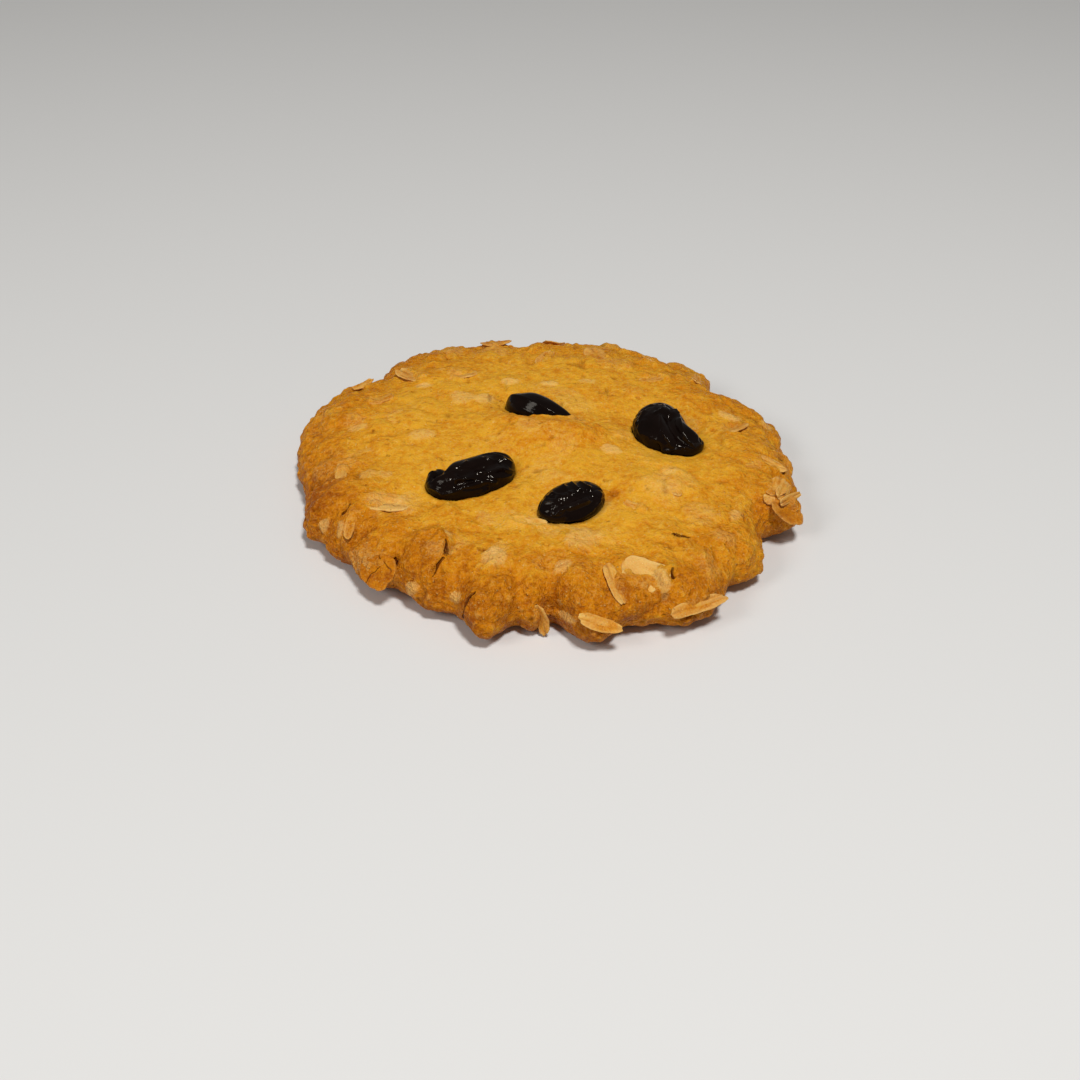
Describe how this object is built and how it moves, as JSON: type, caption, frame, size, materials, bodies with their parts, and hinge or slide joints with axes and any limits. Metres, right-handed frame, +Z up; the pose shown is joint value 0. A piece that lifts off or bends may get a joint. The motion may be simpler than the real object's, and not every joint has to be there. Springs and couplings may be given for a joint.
{
  "type": "oatmeal raisin cookie",
  "caption": "Round baked oat cookie with a lobed rim, rolled oats in its crust and raisins set in hollows of its top; it rests on its flat underside.",
  "frame": {"origin": "on the table, under the middle of the cookie", "axes": "+Z up out of the top; -Y is the side nearest the viewer in the picture and +X its right"},
  "size_m": [0.0836, 0.0832, 0.0133],
  "materials": {
    "crust": "golden baked oat dough, matt and crumbly",
    "raisin": "near-black wrinkled raisin skin with a gloss"
  },
  "bodies": {
    "root": {"cookie": "crust", "raisin_left": "raisin", "raisin_front": "raisin", "raisin_back": "raisin", "raisin_right": "raisin"}
  },
  "joints": []
}
